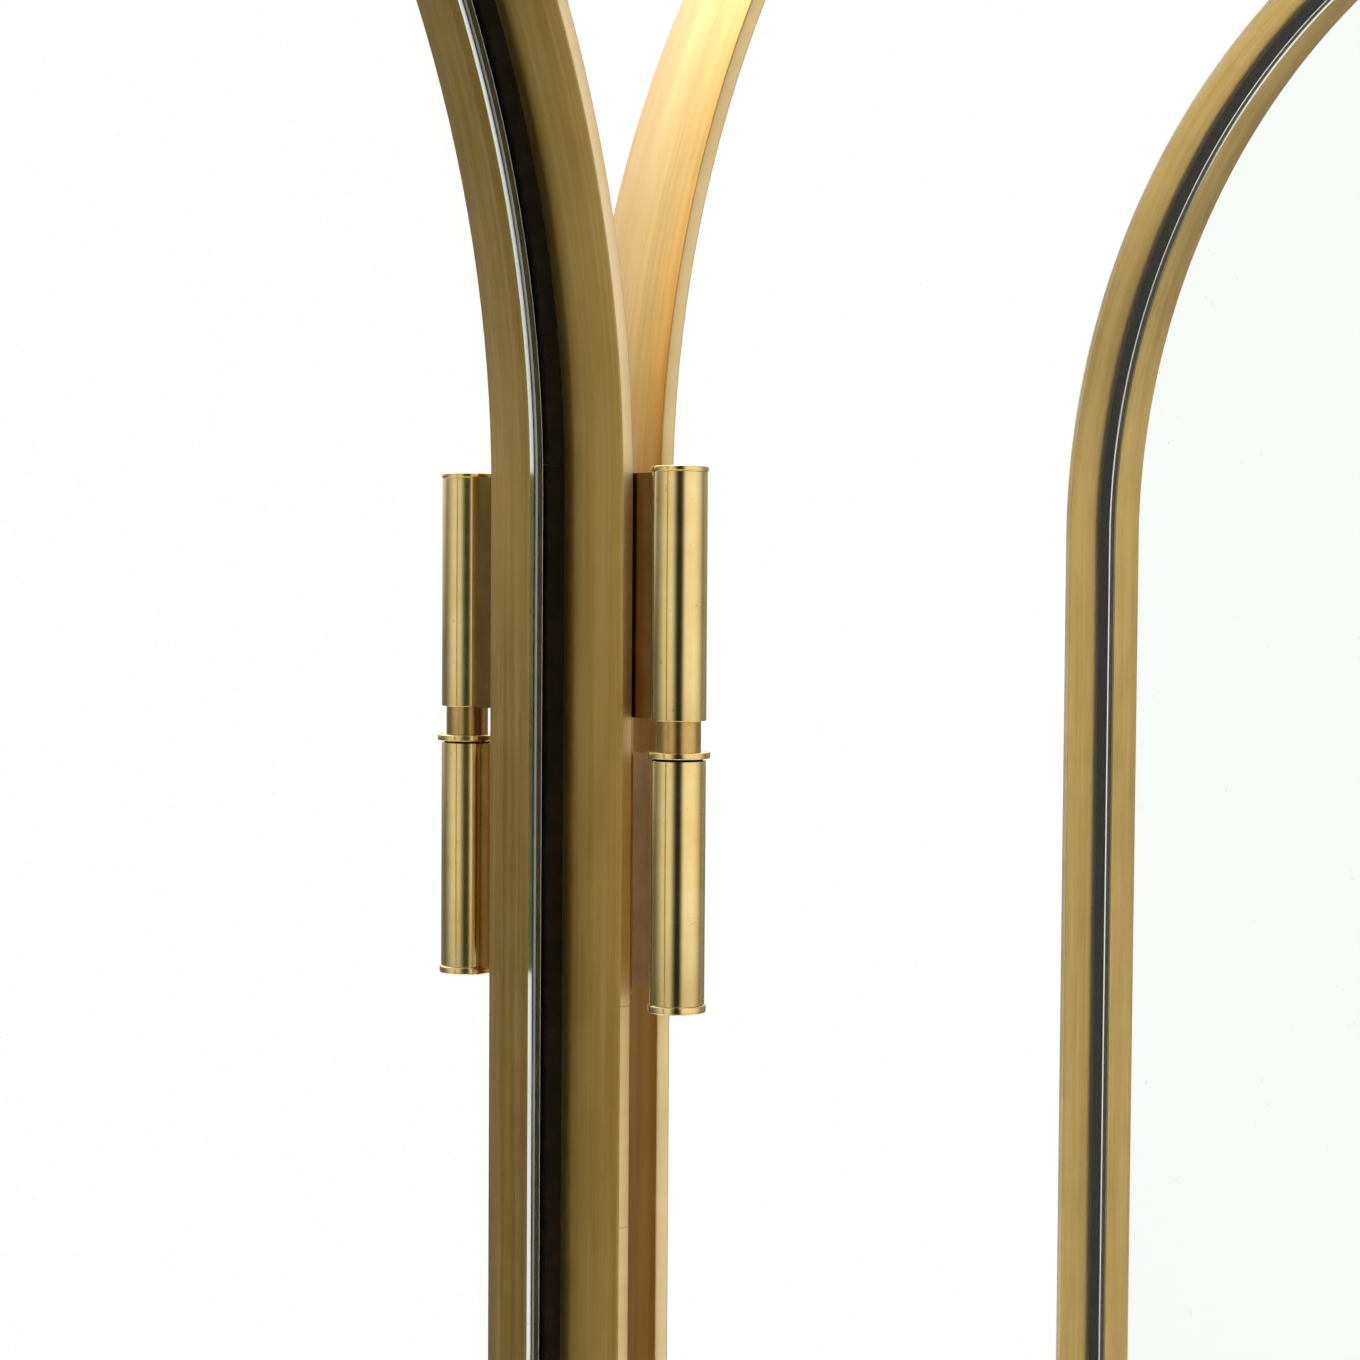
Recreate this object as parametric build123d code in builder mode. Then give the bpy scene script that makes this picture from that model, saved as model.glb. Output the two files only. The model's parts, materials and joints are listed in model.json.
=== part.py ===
"""Folding room divider: three arched glass panels in flat brass bands, joined by two-way hinges.

The middle panel stands along X with its near side towards -Y. The left panel is folded to the
near side and the right panel to the far side. Every size is in millimetres.
"""
from build123d import *
import os
from math import cos, radians, sin

# ---- panel -------------------------------------------------------------------------------------
panel_width = 450.0        # over the outer faces of the band
overall_height = 1750.0    # floor to the top of the arch
band_depth = 39.0          # width of the flat bar, seen from the side
band_thickness = 2.4
band_edge_bevel = 0.25
glass_thickness = 6.0
glass_arris = 0.6          # bevel ground on the edge of the pane
gasket_height = 3.4
gasket_width = 8.0
gasket_joint = 0.6         # gap where the arch strip meets the lower strip
joint_rise = 4.8           # from the start of the arch up to that gap

# ---- feet --------------------------------------------------------------------------------------
foot_diameter = 18.0
foot_height = 4.0
foot_inset = 30.0          # from the end of the panel to the middle of the foot
pad_diameter = 15.0
pad_height = 2.0

# ---- hinge -------------------------------------------------------------------------------------
sleeve_diameter = 9.2
pin_diameter = 6.0
running_clearance = 0.05   # radial, between a pin and the sleeve that turns on it
seat_clearance = 0.05      # axial, between a pin's shoulder and the sleeve that it carries
neck_diameter = 7.5
neck_height = 5.1
washer_diameter = 10.6
washer_height = 1.4
lower_sleeve_height = 40.5
upper_sleeve_height = 41.0
top_cap_diameter = 9.5
top_cap_height = 0.9
bottom_cap_diameter = 9.7
bottom_cap_height = 1.3
cap_bevel = 0.25
pin_top_gap = 1.5          # from the end of the pin to the top cap
barrel_stand_off = 10.9    # from the edge of the band to the barrel's axis
link_thickness = 1.0
leaf_thickness = 1.4
leaf_proud = 0.1
leaf_depth = 22.0          # how far a leaf reaches along the band
leaf_clearance = 0.2
fit_gap = 0.05             # round a leaf in its recess, and round a screw in its hole
link_setback = 1.1         # from the edge of the band to the edge of the link plate
arch_to_hinge_top = 4.0    # the upper hinge reaches this far above the start of the arch
lower_hinge_height = 150.0

# ---- screws ------------------------------------------------------------------------------------
screw_head_diameter = 5.2
screw_head_height = 1.1
screw_diameter = 2.8
screw_bite = 0.8           # depth of the thread in the band
screws_per_leaf = 3
screw_inset = 15.5         # from the edge of the band to a leaf's row of screws
screw_end_margin = 6.0     # from the end of a leaf to its outermost screw

# ---- folds in the rest position, in degrees from straight ---------------------------------------
left_fold = 19.0
right_fold = 103.0

# ---- places worked out from the sizes above -----------------------------------------------------
arch_radius = panel_width / 2
spring_height = overall_height - arch_radius
frame_bottom = foot_height + pad_height
inner_radius = arch_radius - band_thickness
glass_radius = inner_radius - gasket_height
half_depth = band_depth / 2
hinge_gap = link_thickness / 2 + leaf_clearance + leaf_proud
axis_spacing = band_depth + 2 * barrel_stand_off
axis_offset = half_depth + barrel_stand_off
panel_pitch = panel_width + 2 * hinge_gap
lower_sleeve_bottom = bottom_cap_height
lower_sleeve_top = lower_sleeve_bottom + lower_sleeve_height
shoulder_height = lower_sleeve_top + washer_height + neck_height
upper_sleeve_bottom = shoulder_height + seat_clearance
upper_sleeve_top = upper_sleeve_bottom + upper_sleeve_height
hinge_height = upper_sleeve_top + top_cap_height
leaf_face = hinge_gap - leaf_proud
recess_depth = leaf_thickness - leaf_proud
hinge_bottoms = {
    "lower": lower_hinge_height,
    "upper": spring_height + arch_to_hinge_top - hinge_height,
}

pieces = {}


def keep(name, piece, place):
    """Put a finished piece in its place on the screen, under its own name."""
    pieces[name] = place * piece.part


def turn_about(x, y, angle):
    """A turn about an upright axis."""
    return Pos(x, y, 0) * Rot(0, 0, angle) * Pos(-x, -y, 0)


# ---- panel pieces, with the panel's centre line at X = 0 and its mid-plane at Y = 0 --------------
def arched_outline(radius, bottom):
    """A sketch of an arched opening: upright sides with a half round top."""
    with BuildSketch(Plane.XZ) as outline:
        with Locations((0, spring_height)):
            Circle(radius)
        with Locations((0, (bottom + spring_height) / 2)):
            Rectangle(2 * radius, spring_height - bottom)
    return outline.sketch


def above_spring():
    """The area above the start of the arch."""
    with BuildSketch(Plane.XZ) as area:
        with Locations((0, spring_height + panel_width / 2)):
            Rectangle(2 * panel_width, panel_width)
    return area.sketch


def leaf_recess(side, near_side, bottom, height):
    """Cut the shallow recess that a hinge leaf lies in."""
    middle = side * (arch_radius - recess_depth / 2)
    depth = leaf_depth + fit_gap
    edge = -half_depth if near_side else half_depth
    inward = depth / 2 if near_side else -depth / 2
    with Locations((middle, edge + inward, bottom + height / 2)):
        Box(recess_depth, depth, height + 2 * fit_gap, mode=Mode.SUBTRACT)


def make_arch(name, place, hinged_right):
    with BuildPart() as arch:
        with BuildSketch(Plane.XZ):
            with Locations((0, spring_height)):
                Circle(arch_radius)
                Circle(inner_radius, mode=Mode.SUBTRACT)
            add(above_spring(), mode=Mode.INTERSECT)
        extrude(amount=half_depth, both=True)
        chamfer(arch.edges().filter_by(GeomType.CIRCLE), band_edge_bevel)
        if hinged_right:
            bottom = hinge_bottoms["upper"] + upper_sleeve_bottom
            leaf_recess(1, False, bottom, upper_sleeve_height)
    keep(name, arch, place)


def screw_heights(bottom, height):
    """Heights of the screws in one leaf."""
    first = bottom + screw_end_margin
    step = (height - 2 * screw_end_margin) / (screws_per_leaf - 1)
    return [first + step * index for index in range(screws_per_leaf)]


def make_stile(name, place, side, hinged):
    """One upright. The left one carries near leaves and the right one far leaves."""
    near_side = side < 0
    with BuildPart() as stile:
        with BuildSketch(Plane.XY.offset(frame_bottom)):
            with Locations((side * (arch_radius - band_thickness / 2), 0)):
                Rectangle(band_thickness, band_depth)
        extrude(amount=spring_height - frame_bottom)
        chamfer(stile.edges().filter_by(Axis.Z), band_edge_bevel)
        if hinged:
            sleeve_bottom = lower_sleeve_bottom if near_side else upper_sleeve_bottom
            height = lower_sleeve_height if near_side else upper_sleeve_height
            for hinge_bottom in hinge_bottoms.values():
                leaf_recess(side, near_side, hinge_bottom + sleeve_bottom, height)
                for z in screw_heights(hinge_bottom + sleeve_bottom, height):
                    reach = half_depth - screw_inset
                    y = -reach if near_side else reach
                    x = side * (arch_radius - recess_depth - screw_bite / 2)
                    with Locations((x, y, z)):
                        Cylinder(screw_diameter / 2, screw_bite, rotation=(0, 90, 0),
                                 mode=Mode.SUBTRACT)
    keep(name, stile, place)


def make_bottom_rail(name, place):
    with BuildPart() as rail:
        with BuildSketch(Plane.XY.offset(frame_bottom)):
            Rectangle(2 * inner_radius, band_depth)
        extrude(amount=band_thickness)
        chamfer(rail.edges().filter_by(Axis.X), band_edge_bevel)
    keep(name, rail, place)


def make_glass(name, place):
    bottom = frame_bottom + band_thickness + gasket_height
    with BuildPart() as glass:
        with BuildSketch(Plane.XZ):
            add(arched_outline(glass_radius, bottom))
        extrude(amount=glass_thickness / 2, both=True)
        near_rim = glass.faces().sort_by(Axis.Y)[0].edges()
        far_rim = glass.faces().sort_by(Axis.Y)[-1].edges()
        chamfer(near_rim + far_rim, glass_arris)
    keep(name, glass, place)


def make_gasket(name, place):
    """The rubber round the pane: one strip over the arch and one round the rest."""
    band_inside = frame_bottom + band_thickness
    with BuildPart() as gasket:
        with BuildSketch(Plane.XZ):
            add(arched_outline(inner_radius, band_inside))
            add(arched_outline(glass_radius, band_inside + gasket_height), mode=Mode.SUBTRACT)
            with Locations((0, spring_height + joint_rise)):
                Rectangle(panel_width, gasket_joint, mode=Mode.SUBTRACT)
        extrude(amount=gasket_width / 2, both=True)
    keep(name, gasket, place)


def make_feet(prefix, place):
    places = [(-arch_radius + foot_inset, 0), (arch_radius - foot_inset, 0)]
    with BuildPart() as feet:
        with BuildSketch(Plane.XY.offset(pad_height)):
            with Locations(*places):
                Circle(foot_diameter / 2)
        extrude(amount=foot_height)
        chamfer(feet.edges().filter_by(GeomType.CIRCLE).group_by(Axis.Z)[0], foot_height / 4)
    keep(prefix + "_feet", feet, place)
    with BuildPart() as pads:
        with BuildSketch(Plane.XY):
            with Locations(*places):
                Circle(pad_diameter / 2)
        extrude(amount=pad_height)
    keep(prefix + "_foot_pads", pads, place)


def screw_profile():
    """Half the outline of a countersunk screw, with its flat head at the origin."""
    with BuildSketch(Plane.XZ) as profile:
        with BuildLine():
            Polyline(
                (0, 0),
                (screw_head_diameter / 2, 0),
                (screw_diameter / 2, -screw_head_height),
                (screw_diameter / 2, -leaf_thickness - screw_bite),
                (0, -leaf_thickness - screw_bite),
                close=True,
            )
        make_face()
    return profile.sketch


def leaf_screw_planes(side, near_side, hinge_bottom):
    """A plane on the face of a leaf for each of its screws, facing out of the panel."""
    sleeve_bottom = lower_sleeve_bottom if near_side else upper_sleeve_bottom
    height = lower_sleeve_height if near_side else upper_sleeve_height
    reach = half_depth - screw_inset
    y = -reach if near_side else reach
    x = side * (arch_radius + leaf_proud)
    heights = screw_heights(hinge_bottom + sleeve_bottom, height)
    return [Plane(origin=(x, y, z), x_dir=(0, 1, 0), z_dir=(side, 0, 0)) for z in heights]


def make_screws(name, place, sides):
    with BuildPart() as screw:
        add(screw_profile())
        revolve(axis=Axis.Z)
    with BuildPart() as screws:
        for side in sides:
            for hinge_bottom in hinge_bottoms.values():
                with Locations(*leaf_screw_planes(side, side < 0, hinge_bottom)):
                    add(screw.part)
    keep(name, screws, place)


def make_panel(prefix, place, hinged_left, hinged_right):
    make_arch(prefix + "_arch", place, hinged_right)
    make_stile(prefix + "_left_stile", place, -1, hinged_left)
    make_stile(prefix + "_right_stile", place, 1, hinged_right)
    make_bottom_rail(prefix + "_bottom_rail", place)
    make_glass(prefix + "_glass", place)
    make_gasket(prefix + "_gasket", place)
    make_feet(prefix, place)
    sides = [side for side, hinged in ((-1, hinged_left), (1, hinged_right)) if hinged]
    make_screws(prefix + "_leaf_screws", place, sides)


# ---- hinge pieces, with the near axis at X = 0, Y = 0 and the far axis at Y = axis_spacing -------
def sleeve(y, bottom, height):
    """The outside of a sleeve, before its bore."""
    with BuildSketch(Plane.XY.offset(bottom)) as section:
        with Locations((0, y)):
            Circle(sleeve_diameter / 2)
    extrude(section.sketch, amount=height)


def bore(y, bottom, height):
    with BuildSketch(Plane.XY.offset(bottom)) as section:
        with Locations((0, y)):
            Circle(pin_diameter / 2)
    extrude(section.sketch, amount=height, mode=Mode.SUBTRACT)


def plate(x_low, x_high, y_low, y_high, z_low, z_high):
    with BuildSketch(Plane.XY.offset(z_low)) as section:
        with Locations(((x_low + x_high) / 2, (y_low + y_high) / 2)):
            Rectangle(x_high - x_low, y_high - y_low)
    extrude(section.sketch, amount=z_high - z_low)


def make_near_leaf(name, place):
    """The leaf with the near lower sleeve, for the panel on the right of the joint."""
    with BuildPart() as leaf:
        sleeve(0, lower_sleeve_bottom, lower_sleeve_height)
        plate(leaf_face, leaf_face + leaf_thickness, pin_diameter / 2,
              barrel_stand_off + leaf_depth, lower_sleeve_bottom, lower_sleeve_top)
        bore(0, lower_sleeve_bottom, lower_sleeve_height)
        y = barrel_stand_off + screw_inset
        for z in screw_heights(lower_sleeve_bottom, lower_sleeve_height):
            with Locations(Plane(origin=(leaf_face, y, z), x_dir=(0, 1, 0), z_dir=(-1, 0, 0))):
                CounterSinkHole(screw_diameter / 2, screw_head_diameter / 2)
    keep(name, leaf, place)


def make_far_leaf(name, place):
    """The leaf with the far upper sleeve, for the panel on the left of the joint."""
    with BuildPart() as leaf:
        sleeve(axis_spacing, upper_sleeve_bottom, upper_sleeve_height)
        plate(-leaf_face - leaf_thickness, -leaf_face,
              axis_spacing - barrel_stand_off - leaf_depth, axis_spacing - pin_diameter / 2,
              upper_sleeve_bottom, upper_sleeve_top)
        bore(axis_spacing, upper_sleeve_bottom, upper_sleeve_height)
        y = axis_spacing - barrel_stand_off - screw_inset
        for z in screw_heights(upper_sleeve_bottom, upper_sleeve_height):
            with Locations(Plane(origin=(-leaf_face, y, z), x_dir=(0, 1, 0), z_dir=(1, 0, 0))):
                CounterSinkHole(screw_diameter / 2, screw_head_diameter / 2)
    keep(name, leaf, place)


def make_link(name, place):
    """The plate between two panels, with a sleeve at the top of its near edge and one at the
    bottom of its far edge."""
    half = link_thickness / 2
    edge = barrel_stand_off + link_setback
    with BuildPart() as link:
        sleeve(0, upper_sleeve_bottom, upper_sleeve_height)
        sleeve(axis_spacing, lower_sleeve_bottom, lower_sleeve_height)
        plate(-half, half, edge, axis_spacing - edge, lower_sleeve_bottom, upper_sleeve_top)
        plate(-half, half, pin_diameter / 2, edge, upper_sleeve_bottom, upper_sleeve_top)
        plate(-half, half, axis_spacing - edge, axis_spacing - pin_diameter / 2,
              lower_sleeve_bottom, lower_sleeve_top)
        bore(0, upper_sleeve_bottom, upper_sleeve_height)
        bore(axis_spacing, lower_sleeve_bottom, lower_sleeve_height)
    keep(name, link, place)


def make_pin(name, place, y):
    """A pin pressed into the lower sleeve, with a shoulder that carries the upper sleeve."""
    radius = pin_diameter / 2
    neck = neck_diameter / 2
    running = radius - running_clearance
    with BuildPart() as pin:
        with BuildSketch(Plane.XZ.offset(-y)):
            with BuildLine():
                Polyline(
                    (0, lower_sleeve_bottom),
                    (radius, lower_sleeve_bottom),
                    (radius, lower_sleeve_top),
                    (neck, lower_sleeve_top),
                    (neck, shoulder_height),
                    (running, shoulder_height),
                    (running, upper_sleeve_top - pin_top_gap),
                    (0, upper_sleeve_top - pin_top_gap),
                    close=True,
                )
            make_face()
        revolve(axis=Axis((0, y, 0), (0, 0, 1)))
    keep(name, pin, place)


def cap(y, bottom, diameter, height, open_end):
    """A turned cap, bevelled at the rim that faces away from its sleeve."""
    radius = diameter / 2
    low, high = (radius - cap_bevel, radius) if open_end < 0 else (radius, radius - cap_bevel)
    shoulder = bottom + cap_bevel if open_end < 0 else bottom + height - cap_bevel
    with BuildSketch(Plane.XZ.offset(-y)) as outline:
        with BuildLine():
            Polyline(
                (0, bottom),
                (low, bottom),
                (radius, shoulder),
                (high, bottom + height),
                (0, bottom + height),
                close=True,
            )
        make_face()
    revolve(outline.sketch, axis=Axis((0, y, 0), (0, 0, 1)))


def make_caps(name, place, tops, bottoms):
    """The caps of one body, at both hinges."""
    with BuildPart() as caps:
        for hinge_bottom in hinge_bottoms.values():
            for x, y in tops:
                with Locations((x, y, hinge_bottom)):
                    add(top_cap.part)
            for x, y in bottoms:
                with Locations((x, y, hinge_bottom)):
                    add(bottom_cap.part)
    keep(name, caps, place)


def make_washers(name, place, centre):
    """The washers of one body, at both hinges."""
    with BuildPart() as washers:
        for hinge_bottom in hinge_bottoms.values():
            with BuildSketch(Plane.XY.offset(hinge_bottom + lower_sleeve_top)):
                with Locations(centre):
                    Circle(washer_diameter / 2)
                    Circle(neck_diameter / 2 + fit_gap, mode=Mode.SUBTRACT)
            extrude(amount=washer_height)
    keep(name, washers, place)


with BuildPart() as top_cap:
    cap(0, upper_sleeve_top, top_cap_diameter, top_cap_height, 1)

with BuildPart() as bottom_cap:
    cap(0, 0, bottom_cap_diameter, bottom_cap_height, -1)


# ---- the screen ----------------------------------------------------------------------------------
left_joint_x = -arch_radius - hinge_gap
right_joint_x = arch_radius + hinge_gap

middle_place = Pos(0, 0, 0)
left_link_place = turn_about(left_joint_x, -axis_offset, left_fold)
left_place = left_link_place * Pos(-panel_pitch, 0, 0)
right_link_place = turn_about(right_joint_x, axis_offset, right_fold)
right_place = right_link_place * Pos(panel_pitch, 0, 0)

make_panel("left", left_place, False, True)
make_panel("middle", middle_place, True, True)
make_panel("right", right_place, True, False)


def make_hinge(joint, level, joint_x, left_side, link_side, right_side):
    """One two-way hinge: two leaves, a link plate and two pins."""
    corner = Pos(joint_x, -axis_offset, hinge_bottoms[level])
    prefix = joint + "_" + level
    make_near_leaf(prefix + "_near_leaf", right_side * corner)
    make_pin(prefix + "_near_pin", right_side * corner, 0)
    make_link(prefix + "_link_plate", link_side * corner)
    make_pin(prefix + "_far_pin", link_side * corner, axis_spacing)
    make_far_leaf(prefix + "_far_leaf", left_side * corner)


for hinge_level in hinge_bottoms:
    make_hinge("left_hinge", hinge_level, left_joint_x,
               left_link_place, left_link_place, middle_place)
    make_hinge("right_hinge", hinge_level, right_joint_x,
               middle_place, right_link_place, right_link_place)

left_near = (left_joint_x, -axis_offset)
left_far = (left_joint_x, axis_offset)
right_near = (right_joint_x, -axis_offset)
right_far = (right_joint_x, axis_offset)

make_caps("left_panel_hinge_caps", left_link_place, [left_far], [])
make_caps("left_link_hinge_caps", left_link_place, [left_near], [left_far])
make_caps("middle_panel_hinge_caps", middle_place, [right_far], [left_near])
make_caps("right_link_hinge_caps", right_link_place, [right_near], [right_far])
make_caps("right_panel_hinge_caps", right_link_place, [], [right_near])

make_washers("left_link_washers", left_link_place, left_far)
make_washers("middle_panel_washers", middle_place, left_near)
make_washers("right_link_washers", right_link_place, right_far)
make_washers("right_panel_washers", right_link_place, right_near)

# ---- the origin goes to the floor, under the middle of the screen's box ---------------------------
boxes = [shape.bounding_box() for shape in pieces.values()]
centre_x = (min(box.min.X for box in boxes) + max(box.max.X for box in boxes)) / 2
centre_y = (min(box.min.Y for box in boxes) + max(box.max.Y for box in boxes)) / 2
to_origin = Pos(-centre_x, -centre_y, 0)

os.makedirs("parts", exist_ok=True)
for piece_name, shape in pieces.items():
    finished = to_origin * shape
    finished.label = piece_name
    export_step(finished, "parts/" + piece_name + ".step")


def swing(point, pivot, angle):
    """Where a point of the straight screen is after a fold."""
    x = point[0] - pivot[0]
    y = point[1] - pivot[1]
    turn = radians(angle)
    return (pivot[0] + x * cos(turn) - y * sin(turn), pivot[1] + x * sin(turn) + y * cos(turn))


hinge_axes = {
    "left_near": left_near,
    "left_far": swing(left_far, left_near, left_fold),
    "right_far": right_far,
    "right_near": swing(right_near, right_far, right_fold),
}
for axis_name, point in hinge_axes.items():
    print(axis_name, round(point[0] - centre_x, 4), round(point[1] - centre_y, 4))
print("nodes", len(pieces))
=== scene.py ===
"""Looks of an arched glass folding screen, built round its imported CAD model.

Lengths are metres. The bands, panes and gaskets are made here again as smooth sweeps, the hinges as
turned barrels with rolled plates, and the leaf screws are set out by Geometry Nodes.
"""
import bmesh
import bpy
import json
import math
from mathutils import Matrix, Vector

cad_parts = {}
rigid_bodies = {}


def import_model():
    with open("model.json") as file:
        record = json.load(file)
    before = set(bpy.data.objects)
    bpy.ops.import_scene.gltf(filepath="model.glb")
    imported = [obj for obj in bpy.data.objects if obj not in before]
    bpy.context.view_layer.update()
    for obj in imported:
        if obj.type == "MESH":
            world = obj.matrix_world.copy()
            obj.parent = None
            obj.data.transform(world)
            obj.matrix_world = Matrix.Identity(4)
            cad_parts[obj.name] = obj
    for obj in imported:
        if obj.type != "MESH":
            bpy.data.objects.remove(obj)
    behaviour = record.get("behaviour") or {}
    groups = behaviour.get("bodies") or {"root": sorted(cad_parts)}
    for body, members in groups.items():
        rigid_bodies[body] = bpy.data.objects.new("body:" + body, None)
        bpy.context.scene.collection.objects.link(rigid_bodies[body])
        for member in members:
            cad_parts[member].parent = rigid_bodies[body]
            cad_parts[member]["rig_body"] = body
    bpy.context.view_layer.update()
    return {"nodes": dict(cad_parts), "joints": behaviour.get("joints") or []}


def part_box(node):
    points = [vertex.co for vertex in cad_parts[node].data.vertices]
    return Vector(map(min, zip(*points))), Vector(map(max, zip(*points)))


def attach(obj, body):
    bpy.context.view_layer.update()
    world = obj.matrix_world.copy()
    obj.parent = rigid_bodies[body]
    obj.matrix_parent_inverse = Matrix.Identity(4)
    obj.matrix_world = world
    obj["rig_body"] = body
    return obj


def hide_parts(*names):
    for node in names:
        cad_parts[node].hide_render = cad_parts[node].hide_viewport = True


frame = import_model()
nodes = frame["nodes"]
joints = {joint["name"]: joint for joint in frame["joints"]}

MM = 0.001
# ---- the screen's own sizes ------------------------------------------------------------------
BAND_THICKNESS = 2.4 * MM
BAND_BEVEL = 0.3 * MM
GLASS_THICKNESS = 6.0 * MM
GLASS_ARRIS = 0.6 * MM
GASKET_HEIGHT = 3.4 * MM
GASKET_WIDTH = 8.0 * MM
JOINT_RISE = 4.8 * MM          # from the start of the arch up to the joint in the rubber
GASKET_CLEAR = 0.25 * MM      # air between the rubber and the edge of the pane
REFLECTION_TO = 0.7 * MM          # the painted reflection on the pane's edge runs from its near side to this depth
REFLECTION_STRIP = 1              # which strip of the pane's edge carries the painted reflection, counted from its near side
GASKET_GAP = 0.2 * MM         # the strips swell until they nearly touch
ARC_STEPS = 128
EASED_EDGE = 0.12 * MM
SAME_POINT = 0.002 * MM        # points of a CAD mesh closer than this are one point
LEFT_FOLD = math.radians(-joints["left_near_fold"]["range_deg"][0])
RIGHT_FOLD = math.radians(-joints["right_far_fold"]["range_deg"][0])

middle_low, middle_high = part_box("middle_arch")
PANEL_WIDTH = middle_high.x - middle_low.x
BAND_DEPTH = middle_high.y - middle_low.y
ARCH_RADIUS = PANEL_WIDTH / 2
SPRING = middle_high.z - ARCH_RADIUS
FRAME_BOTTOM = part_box("middle_bottom_rail")[0].z
MIDDLE = Vector(((middle_low.x + middle_high.x) / 2, (middle_low.y + middle_high.y) / 2, 0))
LEFT_AXIS = Vector(joints["left_near_fold"]["pos_m"])
RIGHT_AXIS = Vector(joints["right_far_fold"]["pos_m"])
PANEL_PITCH = 2 * (MIDDLE.x - LEFT_AXIS.x)


def turned_about(pivot, angle):
    """A turn about an upright axis through a point."""
    return Matrix.Translation(pivot) @ Matrix.Rotation(angle, 4, "Z") @ Matrix.Translation(-pivot)


PLACES = {
    "middle": Matrix.Translation(MIDDLE),
    "left": turned_about(LEFT_AXIS, LEFT_FOLD)
    @ Matrix.Translation(MIDDLE - Vector((PANEL_PITCH, 0, 0))),
    "right": turned_about(RIGHT_AXIS, RIGHT_FOLD)
    @ Matrix.Translation(MIDDLE + Vector((PANEL_PITCH, 0, 0))),
}


# ---- colour and node helpers -----------------------------------------------------------------
def linear(hex_colour):
    """An sRGB hex colour as linear RGBA."""
    values = [int(hex_colour[i:i + 2], 16) / 255 for i in (1, 3, 5)]
    done = [v / 12.92 if v <= 0.04045 else ((v + 0.055) / 1.055) ** 2.4 for v in values]
    return (*done, 1.0)


def put(tree, kind, settings=None, links=None, **sockets):
    """Add a node: its settings, the values of its sockets, and what feeds its inputs."""
    node = tree.nodes.new(kind)
    for name, value in (settings or {}).items():
        setattr(node, name, value)
    for name, value in sockets.items():
        node.inputs[name.replace("_", " ")].default_value = value
    for name, source in (links or {}).items():
        tree.links.new(source, node.inputs[name])
    return node


def new_material(name):
    """An empty material with its output, and its tree."""
    material = bpy.data.materials.new(name)
    material.use_nodes = True
    tree = material.node_tree
    tree.nodes.clear()
    return material, tree, tree.nodes.new("ShaderNodeOutputMaterial")


def maths(tree, operation, a, b=None):
    """One sum on a socket, with a number or another socket."""
    node = put(tree, "ShaderNodeMath", {"operation": operation})
    for index, value in enumerate((a, b)):
        if value is None:
            continue
        if isinstance(value, (int, float)):
            node.inputs[index].default_value = value
        else:
            tree.links.new(value, node.inputs[index])
    return node.outputs[0]


def ramp(tree, source, stops):
    """A colour ramp from a list of (place, colour)."""
    node = put(tree, "ShaderNodeValToRGB", links={"Fac": source})
    elements = node.color_ramp.elements
    elements.remove(elements[-1])
    elements[0].position = stops[0][0]
    elements[0].color = stops[0][1]
    for place, colour in stops[1:]:
        elements.new(place).color = colour
    return node.outputs["Color"]


def grey(value):
    return (value, value, value, 1.0)


def noise(tree, vector, scale, detail, roughness):
    """Cloudy noise over a vector, from 0 to 1."""
    node = put(tree, "ShaderNodeTexNoise", links={"Vector": vector},
               Scale=scale, Detail=detail, Roughness=roughness)
    return node.outputs["Fac"]


def multiplied(tree, colour, layer, amount):
    """A colour darkened by a layer, by a share of its full strength."""
    node = put(tree, "ShaderNodeMix", {"data_type": "RGBA", "blend_type": "MULTIPLY"})
    node.inputs[0].default_value = amount
    tree.links.new(colour, node.inputs[6])
    tree.links.new(layer, node.inputs[7])
    return node.outputs[2]


def spread(tree, value, from_low, from_high, to_low=0.0, to_high=1.0, curve="LINEAR"):
    """A value carried from one range to another, and held at its ends."""
    node = put(tree, "ShaderNodeMapRange", {"interpolation_type": curve}, {"Value": value},
               From_Min=from_low, From_Max=from_high, To_Min=to_low, To_Max=to_high)
    return node.outputs[0]


def add_object(name, data):
    """An object at the origin that holds a mesh or a camera."""
    thing = bpy.data.objects.new(name, data)
    bpy.context.scene.collection.objects.link(thing)
    return thing


# ---- materials -------------------------------------------------------------------------------
def band_coordinates(tree, place):
    """Vector along the bar, across it and by side, for a bar bent round an arched panel."""
    where = put(tree, "ShaderNodeTexCoord")
    back = place.inverted()
    mapping = put(tree, "ShaderNodeMapping", {"vector_type": "POINT"},
                  {"Vector": where.outputs["Object"]})
    mapping.inputs["Rotation"].default_value = back.to_euler()
    mapping.inputs["Location"].default_value = back.to_translation()
    parts = put(tree, "ShaderNodeSeparateXYZ", links={"Vector": mapping.outputs["Vector"]})
    width = maths(tree, "ABSOLUTE", parts.outputs["X"])
    above = maths(tree, "MAXIMUM", maths(tree, "SUBTRACT", parts.outputs["Z"], SPRING), 0.0)
    angle = maths(tree, "ARCTAN2", above, width)
    straight = maths(tree, "MINIMUM", parts.outputs["Z"], SPRING)
    along = maths(tree, "ADD", straight, maths(tree, "MULTIPLY", angle, ARCH_RADIUS))
    side = maths(tree, "SIGN", parts.outputs["X"])
    return along, parts.outputs["Y"], side


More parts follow.
